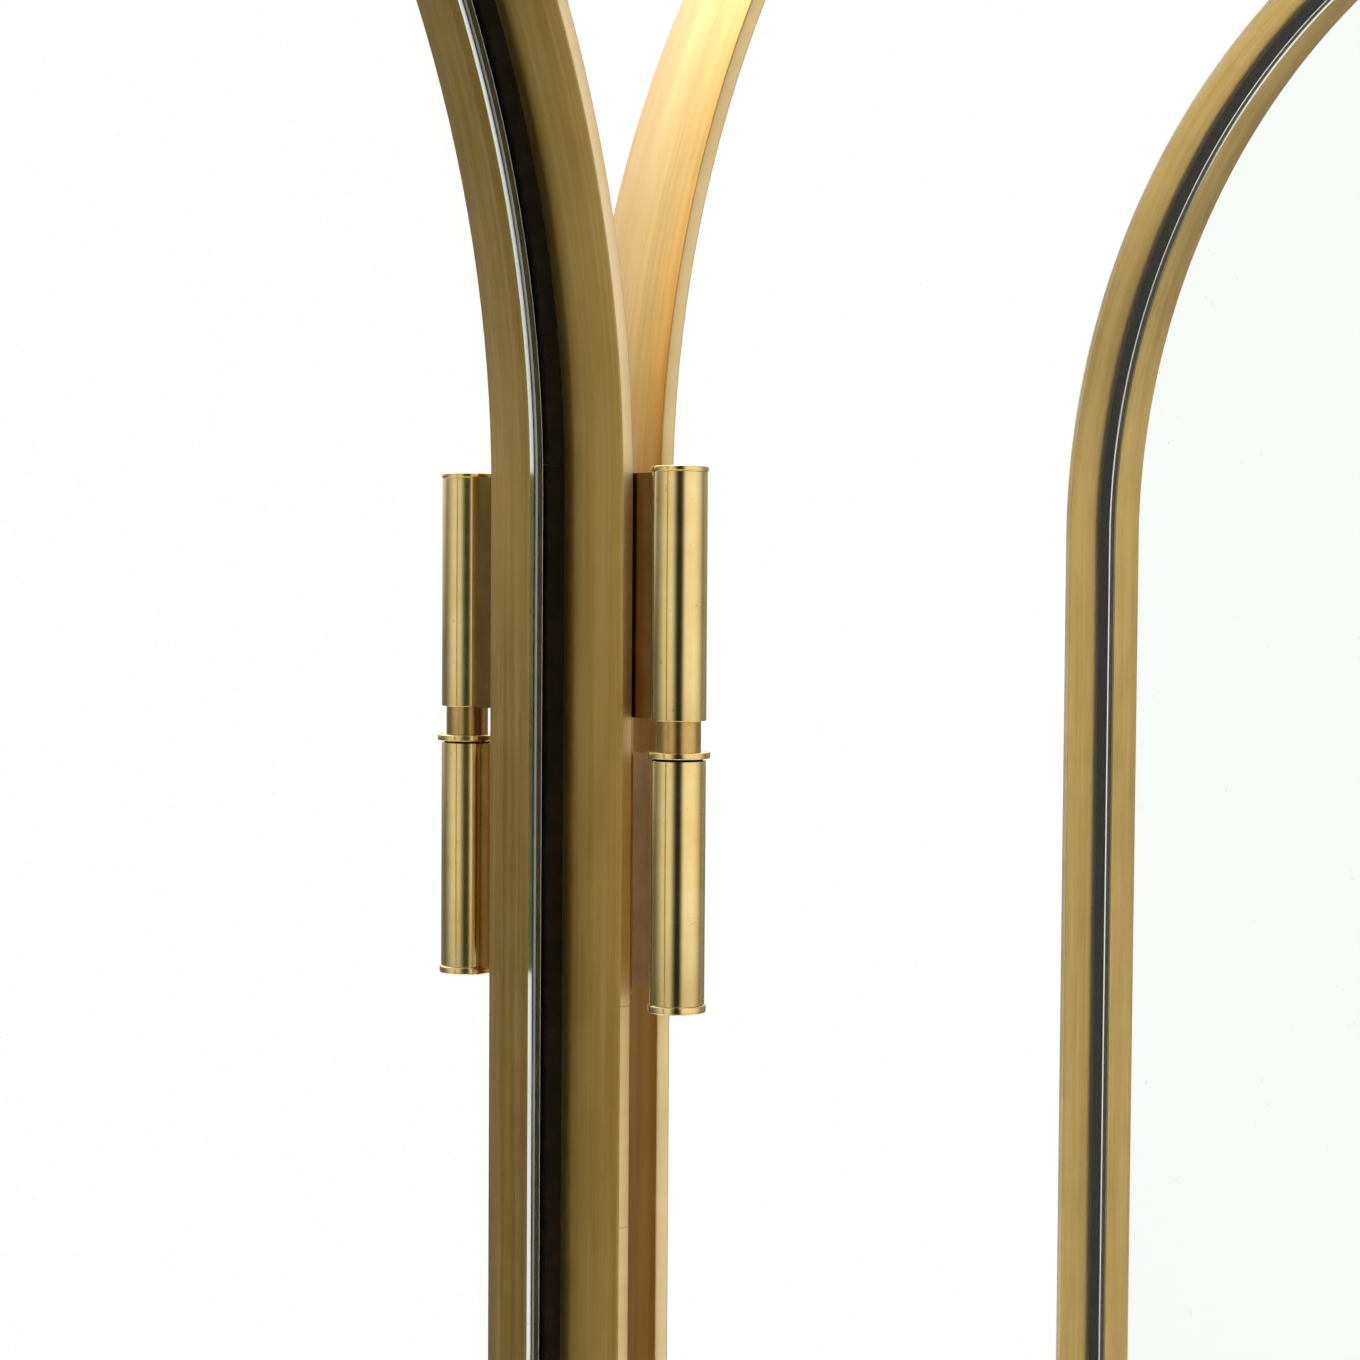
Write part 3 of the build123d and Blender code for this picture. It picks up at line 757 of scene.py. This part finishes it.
def screw_tree():
    """Slotted countersunk screws on points: each head faces out along the point's own vector and
    is turned by a random amount."""
    tree = bpy.data.node_groups.new("leaf_screws", "GeometryNodeTree")
    face = tree.interface
    face.new_socket("Geometry", in_out="INPUT", socket_type="NodeSocketGeometry")
    inputs = {}
    for name, value in SCREW_SIZES:
        socket = face.new_socket(name, in_out="INPUT", socket_type="NodeSocketFloat")
        socket.default_value = value
        inputs[name] = socket.identifier
    seed = face.new_socket("Seed", in_out="INPUT", socket_type="NodeSocketInt")
    seed.default_value = SCREW_SEED
    inputs["Seed"] = seed.identifier
    finish = face.new_socket("Material", in_out="INPUT", socket_type="NodeSocketMaterial")
    inputs["Material"] = finish.identifier
    face.new_socket("Geometry", in_out="OUTPUT", socket_type="NodeSocketGeometry")
    given = tree.nodes.new("NodeGroupInput").outputs
    head = put(tree, "GeometryNodeMeshCone", links={
        "Radius Top": given["Head Radius"], "Radius Bottom": given["Shank Radius"],
        "Depth": given["Length"]}, Vertices=HEAD_SIDES)
    down = maths(tree, "MULTIPLY", given["Length"], -1.0)
    drop = put(tree, "ShaderNodeCombineXYZ", links={"Z": down})
    seated = put(tree, "GeometryNodeTransform", links={
        "Geometry": head.outputs["Mesh"], "Translation": drop.outputs[0]})
    long_side = maths(tree, "MULTIPLY", given["Head Radius"], 3.0)
    deep_side = maths(tree, "MULTIPLY", given["Slot Depth"], 2.0)
    size = put(tree, "ShaderNodeCombineXYZ", links={
        "X": long_side, "Y": given["Slot Width"], "Z": deep_side})
    cutter = put(tree, "GeometryNodeMeshCube", links={"Size": size.outputs[0]})
    slotted = put(tree, "GeometryNodeMeshBoolean", {"operation": "DIFFERENCE"})
    tree.links.new(seated.outputs[0], slotted.inputs[0])
    tree.links.new(cutter.outputs["Mesh"], slotted.inputs[1])
    points = put(tree, "GeometryNodeMeshToPoints", links={"Mesh": given["Geometry"]})
    facing = put(tree, "GeometryNodeInputNamedAttribute", {"data_type": "FLOAT_VECTOR"},
                 Name="facing")
    aligned = put(tree, "FunctionNodeAlignRotationToVector", {"axis": "Z"},
                  {"Vector": facing.outputs["Attribute"]})
    chance = put(tree, "FunctionNodeRandomValue", {"data_type": "FLOAT"},
                 {"Seed": given["Seed"]})
    chance.inputs[2].default_value = 0.0
    chance.inputs[3].default_value = 2 * math.pi
    spin = put(tree, "ShaderNodeCombineXYZ", links={"Z": chance.outputs[1]})
    rotated = put(tree, "FunctionNodeRotateRotation", {"rotation_space": "LOCAL"},
                  {"Rotation": aligned.outputs[0], "Rotate By": spin.outputs[0]})
    placed = put(tree, "GeometryNodeInstanceOnPoints", links={
        "Points": points.outputs[0], "Instance": slotted.outputs["Mesh"],
        "Rotation": rotated.outputs[0]})
    real = put(tree, "GeometryNodeRealizeInstances", links={"Geometry": placed.outputs[0]})
    painted = put(tree, "GeometryNodeSetMaterial", links={
        "Geometry": real.outputs[0], "Material": given["Material"]})
    result = tree.nodes.new("NodeGroupOutput")
    tree.links.new(painted.outputs[0], result.inputs[0])
    return tree, inputs


def screw_places(side):
    """Local places of the screws on one side of a panel."""
    found = []
    inset = BAND_DEPTH / 2 - SCREW_INSET
    for level in LOWER:
        low, high = LOWER[level] if side < 0 else UPPER[level]
        step = (high - low - 2 * SCREW_MARGIN) / (SCREWS_PER_LEAF - 1)
        for index in range(SCREWS_PER_LEAF):
            x = side * (ARCH_RADIUS + LEAF_PROUD + HEAD_PROUD)
            found.append((x, side * inset, low + SCREW_MARGIN + step * index))
    return found


def make_screws(panel, sides, tree, inputs):
    """One mesh of all the leaf screws of a panel, made from the tree and frozen."""
    data = bpy.data.meshes.new(panel + "_slotted_screws")
    place = PLACES[panel]
    spots = [(side, spot) for side in sides for spot in screw_places(side)]
    data.from_pydata([place @ Vector(spot) for _, spot in spots], [], [])
    facing = data.attributes.new("facing", "FLOAT_VECTOR", "POINT")
    for index, (side, _) in enumerate(spots):
        facing.data[index].vector = place.to_3x3() @ Vector((side, 0, 0))
    piece = add_object(panel + "_slotted_screws", data)
    modifier = piece.modifiers.new("screws", "NODES")
    modifier.node_group = tree
    modifier[inputs["Material"]] = SCREW_BRASS
    graph = bpy.context.evaluated_depsgraph_get()
    done = bpy.data.meshes.new_from_object(piece.evaluated_get(graph))
    piece.modifiers.remove(modifier)
    piece.data = done
    bpy.data.meshes.remove(data)
    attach(piece, "panel_" + panel)
    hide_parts(panel + "_leaf_screws")


SCREW_TREE, SCREW_INPUTS = screw_tree()

for panel_name in PLACES:
    make_band(panel_name)
    make_gasket(panel_name)
    make_pane(panel_name)
    eased_copy(panel_name + "_bottom_rail", BANDS[panel_name])
    eased_copy(panel_name + "_feet", POLISHED)
    eased_copy(panel_name + "_foot_pads", PAD_RUBBER)

for panel_name, screw_sides in (("left", (1,)), ("middle", (-1, 1)), ("right", (-1,))):
    make_screws(panel_name, screw_sides, SCREW_TREE, SCREW_INPUTS)


# ---- studio ----------------------------------------------------------------------------------
FLOOR_REACH = 3.2              # from the middle of the floor to its edge
FLOOR_SOLID_TO = 1.3           # the floor starts to fade out this far from its middle
# Brightness of the room by bearing, in degrees from the viewer's place, positive to the right.
ROOM = [(-180, 0.6), (-160, 0.3), (-145, 0.22), (-113, 0.13), (-98, 0.25), (-88, 0.4),
        (-68, 0.76), (-49, 0.84), (-32, 0.84), (-24, 0.6), (-16, 0.22), (-7, 0.03), (7, 0.03),
        (14, 0.22), (22, 0.8), (30, 1.0), (68, 1.05), (88, 0.8), (108, 0.35), (130, 0.16),
        (160, 0.2), (180, 0.6)]
# The bright panel at the back: its strength by bearing, and how it comes in with height.
PANEL = [(-180, 3.0), (-150, 3.0), (-125, 2.2), (-105, 0.3), (-80, 0.0), (120, 0.0),
         (150, 1.0), (180, 3.0)]
PANEL_RISE = (-0.08, 0.85, 0.0, 1.05)
OVERHEAD = (0.35, 0.62, 0.0, 0.7)
# How the room dims towards the floor, by height.
FLOOR_FADE = (-0.6, -0.1, 0.5, 1.0)
BACKDROP = 1.05                # strength of the plain white that the lens sees


def pale_floor():
    """A plain painted floor that melts into the backdrop before its own edge."""
    mesh = bmesh.new()
    corners = ((-1, -1), (1, -1), (1, 1), (-1, 1))
    mesh.faces.new([mesh.verts.new((x * FLOOR_REACH, y * FLOOR_REACH, 0)) for x, y in corners])
    data = bpy.data.meshes.new("pale_floor")
    mesh.to_mesh(data)
    mesh.free()
    floor = add_object("pale_floor", data)
    material, tree, output = new_material("pale_floor")
    paint = put(tree, "ShaderNodeBsdfPrincipled", Base_Color=linear("#F3F2F0"), Roughness=0.7)
    where = put(tree, "ShaderNodeTexCoord").outputs["Object"]
    distance = put(tree, "ShaderNodeVectorMath", {"operation": "LENGTH"}, {0: where})
    fade = spread(tree, distance.outputs["Value"], FLOOR_SOLID_TO, FLOOR_REACH,
                  curve="SMOOTHSTEP")
    gone = put(tree, "ShaderNodeBsdfTransparent")
    mix = put(tree, "ShaderNodeMixShader", links={"Fac": fade})
    tree.links.new(paint.outputs[0], mix.inputs[1])
    tree.links.new(gone.outputs[0], mix.inputs[2])
    tree.links.new(mix.outputs[0], output.inputs[0])
    data.materials.append(material)


def studio_world():
    """A white room with dark screens beside and behind the viewer, and a bright panel high at the
    back, so that round metal shows upright stripes and the arches catch light as they turn over."""
    world = bpy.data.worlds.new("studio")
    bpy.context.scene.world = world
    world.use_nodes = True
    tree = world.node_tree
    tree.nodes.clear()
    output = tree.nodes.new("ShaderNodeOutputWorld")
    direction = put(tree, "ShaderNodeTexCoord").outputs["Generated"]

    def towards(axis):
        node = put(tree, "ShaderNodeVectorMath", {"operation": "DOT_PRODUCT"}, {0: direction})
        node.inputs[1].default_value = axis
        return node.outputs["Value"]

    bearing = maths(tree, "ARCTAN2", towards(VIEW_RIGHT), towards(-VIEW_TOWARD))
    turn = maths(tree, "ADD", maths(tree, "DIVIDE", bearing, 2 * math.pi), 0.5)
    room = ramp(tree, turn, [(0.5 + degrees / 360, grey(value)) for degrees, value in ROOM])
    height = put(tree, "ShaderNodeSeparateXYZ", links={"Vector": direction}).outputs["Z"]
    rise = spread(tree, height, *PANEL_RISE)
    overhead = spread(tree, height, *OVERHEAD, curve="SMOOTHSTEP")
    panel = ramp(tree, turn, [(0.5 + degrees / 360, grey(value)) for degrees, value in PANEL])
    raised = maths(tree, "ADD", rise, overhead)
    glow = maths(tree, "MULTIPLY", raised, panel)
    lower = spread(tree, height, *FLOOR_FADE, curve="SMOOTHSTEP")
    dimmed = maths(tree, "MULTIPLY", room, lower)
    total = maths(tree, "ADD", dimmed, glow)
    surround = put(tree, "ShaderNodeBackground", links={"Strength": total},
                   Color=linear("#FFFCF6"))
    backdrop = put(tree, "ShaderNodeBackground", Color=linear("#FEFEFD"), Strength=BACKDROP)
    path = put(tree, "ShaderNodeLightPath")
    unreflected = maths(tree, "LESS_THAN", path.outputs["Glossy Depth"], 0.5)
    through = maths(tree, "MULTIPLY", path.outputs["Is Transmission Ray"], unreflected)
    seen = maths(tree, "MAXIMUM", path.outputs["Is Camera Ray"], through)
    mix = put(tree, "ShaderNodeMixShader", links={"Fac": seen})
    tree.links.new(surround.outputs[0], mix.inputs[1])
    tree.links.new(backdrop.outputs[0], mix.inputs[2])
    tree.links.new(mix.outputs[0], output.inputs[0])


# ---- camera ----------------------------------------------------------------------------------
SENSOR = 36.0
LENS = 73.429412              # millimetres, a short telephoto for a close view
CAMERA_BACK = 0.4575          # from the near axis of the left hinge, level, to the lens
CAMERA_HEIGHT = 1.5124
CAMERA_RIGHT = 0.0002
NEAREST_SEEN = 0.01
VIEW_TURN = math.radians(22.06)
VIEW_DIP = math.radians(2.33)
VIEW_ROLL = math.radians(0.4)
VIEW_TOWARD = Vector((math.sin(VIEW_TURN), math.cos(VIEW_TURN), 0))
VIEW_RIGHT = Vector((math.cos(VIEW_TURN), -math.sin(VIEW_TURN), 0))

camera_data = bpy.data.cameras.new("camera")
camera_data.sensor_width = SENSOR
camera_data.lens = LENS
camera_data.clip_start = NEAREST_SEEN
camera = add_object("camera", camera_data)
eye = Vector((LEFT_AXIS.x, LEFT_AXIS.y, CAMERA_HEIGHT)) - VIEW_TOWARD * CAMERA_BACK
eye += VIEW_RIGHT * CAMERA_RIGHT
camera.matrix_world = (Matrix.Translation(eye)
                       @ Matrix.Rotation(-VIEW_TURN, 4, "Z")
                       @ Matrix.Rotation(math.pi / 2 - VIEW_DIP, 4, "X")
                       @ Matrix.Rotation(VIEW_ROLL, 4, "Z"))
bpy.context.scene.camera = camera

pale_floor()
studio_world()
bpy.context.scene.view_settings.view_transform = "Standard"
